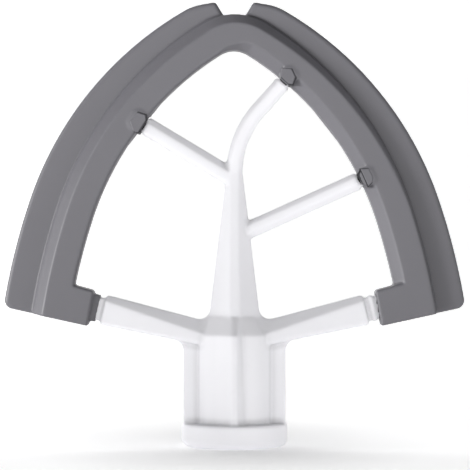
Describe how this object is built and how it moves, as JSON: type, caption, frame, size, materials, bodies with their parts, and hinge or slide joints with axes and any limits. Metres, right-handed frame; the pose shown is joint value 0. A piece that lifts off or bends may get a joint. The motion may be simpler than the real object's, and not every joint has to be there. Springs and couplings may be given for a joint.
{
  "type": "stand mixer flat beater",
  "caption": "Flat beater for a stand mixer: a ribbed hub and tapered stem carry slanted arms and branches inside a pointed arch edged with soft scraper wings.",
  "frame": {"origin": "centre of the hub's mouth, where the part stands on its collar", "axes": "+X to the right across the beater's width, -Y toward the viewer, +Z along the shaft from the hub's mouth to the arch's apex"},
  "size_m": [0.148, 0.0342, 0.143],
  "materials": {
    "frame": "satin moulded white",
    "scraper": "soft moulded mid grey, smooth with a dull sheen"
  },
  "bodies": {
    "root": {"frame": "frame", "scraper": "scraper"}
  },
  "joints": []
}
